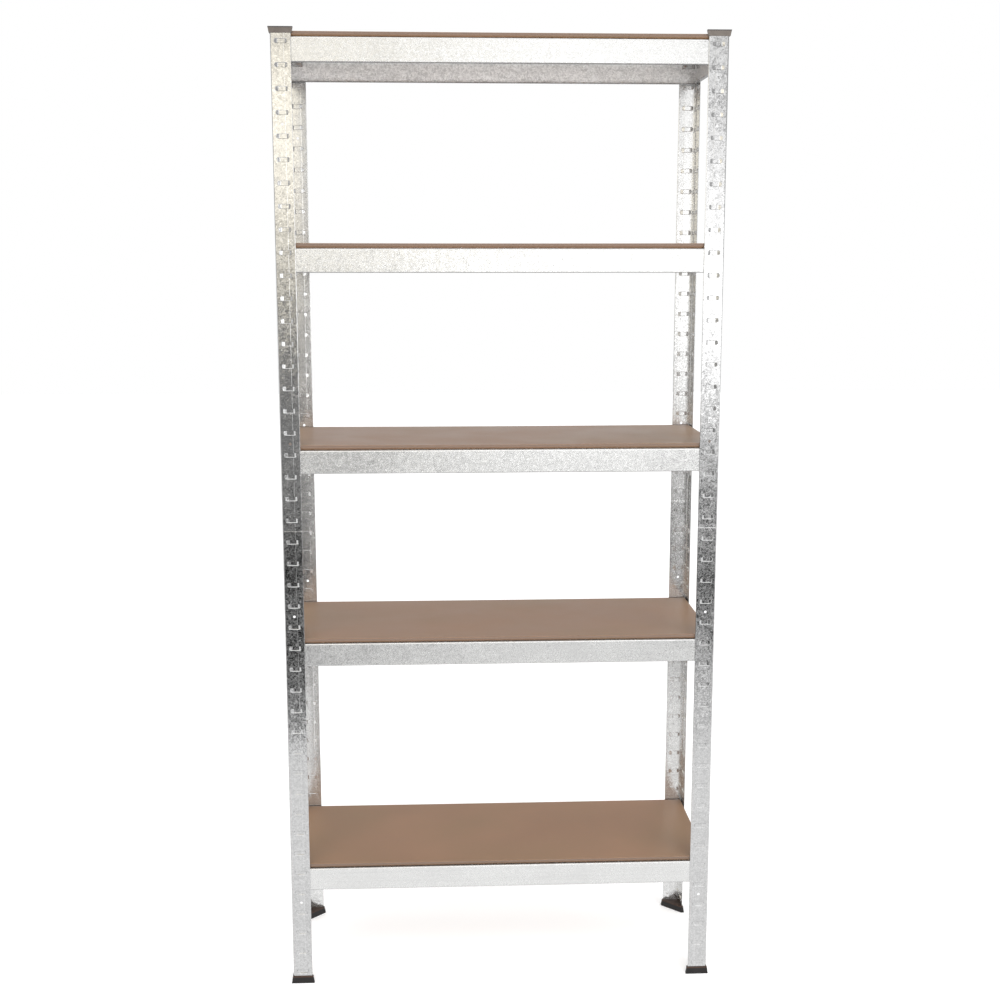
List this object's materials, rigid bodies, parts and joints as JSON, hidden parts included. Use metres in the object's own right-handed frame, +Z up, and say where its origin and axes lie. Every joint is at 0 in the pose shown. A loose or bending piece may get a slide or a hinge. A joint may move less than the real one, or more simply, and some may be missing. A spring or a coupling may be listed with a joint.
{
  "type": "boltless shelving unit",
  "caption": "Free-standing boltless steel shelving: slotted angle posts in two lengths, folded beams, loose fibreboard shelves, plastic caps and feet.",
  "frame": {"origin": "on the floor, at the centre of the footprint", "axes": "+X along the shelves to the right as seen from the front, +Y to the rear, +Z up"},
  "size_m": [0.805, 0.307, 1.766],
  "materials": {
    "galvanised_post": "hot-dip galvanised, fine grey spangle",
    "galvanised_beam": "galvanised sheet, bright and smooth",
    "fibreboard": "raw medium-density fibreboard, matt",
    "black_plastic": "black moulded plastic, satin"
  },
  "bodies": {
    "frame": {"post_front_left_lower": "galvanised_post", "post_front_left_upper": "galvanised_post", "joiner_front_left": "galvanised_post", "post_front_right_lower": "galvanised_post", "post_front_right_upper": "galvanised_post", "joiner_front_right": "galvanised_post", "post_rear_right_lower": "galvanised_post", "post_rear_right_upper": "galvanised_post", "joiner_rear_right": "galvanised_post", "post_rear_left_lower": "galvanised_post", "post_rear_left_upper": "galvanised_post", "joiner_rear_left": "galvanised_post", "foot_front_left": "black_plastic", "cap_front_left": "black_plastic", "foot_front_right": "black_plastic", "cap_front_right": "black_plastic", "foot_rear_right": "black_plastic", "cap_rear_right": "black_plastic", "foot_rear_left": "black_plastic", "cap_rear_left": "black_plastic", "beam_front_level_1": "galvanised_beam", "beam_rear_level_1": "galvanised_beam", "beam_left_level_1": "galvanised_beam", "beam_right_level_1": "galvanised_beam", "beam_front_level_2": "galvanised_beam", "beam_rear_level_2": "galvanised_beam", "beam_left_level_2": "galvanised_beam", "beam_right_level_2": "galvanised_beam", "beam_front_level_3": "galvanised_beam", "beam_rear_level_3": "galvanised_beam", "beam_left_level_3": "galvanised_beam", "beam_right_level_3": "galvanised_beam", "beam_front_level_4": "galvanised_beam", "beam_rear_level_4": "galvanised_beam", "beam_left_level_4": "galvanised_beam", "beam_right_level_4": "galvanised_beam", "beam_front_level_5": "galvanised_beam", "beam_rear_level_5": "galvanised_beam", "beam_left_level_5": "galvanised_beam", "beam_right_level_5": "galvanised_beam"},
    "board_1": {"board_level_1": "fibreboard"},
    "board_2": {"board_level_2": "fibreboard"},
    "board_3": {"board_level_3": "fibreboard"},
    "board_4": {"board_level_4": "fibreboard"},
    "board_5": {"board_level_5": "fibreboard"}
  },
  "joints": [
    {"name": "board_level_1_lift", "type": "slide", "parent": "frame", "child": "board_1", "axis": [0, 0, 1], "range_m": [0, 0.3]},
    {"name": "board_level_2_lift", "type": "slide", "parent": "frame", "child": "board_2", "axis": [0, 0, 1], "range_m": [0, 0.3]},
    {"name": "board_level_3_lift", "type": "slide", "parent": "frame", "child": "board_3", "axis": [0, 0, 1], "range_m": [0, 0.3]},
    {"name": "board_level_4_lift", "type": "slide", "parent": "frame", "child": "board_4", "axis": [0, 0, 1], "range_m": [0, 0.3]},
    {"name": "board_level_5_lift", "type": "slide", "parent": "frame", "child": "board_5", "axis": [0, 0, 1], "range_m": [0, 0.3]}
  ]
}
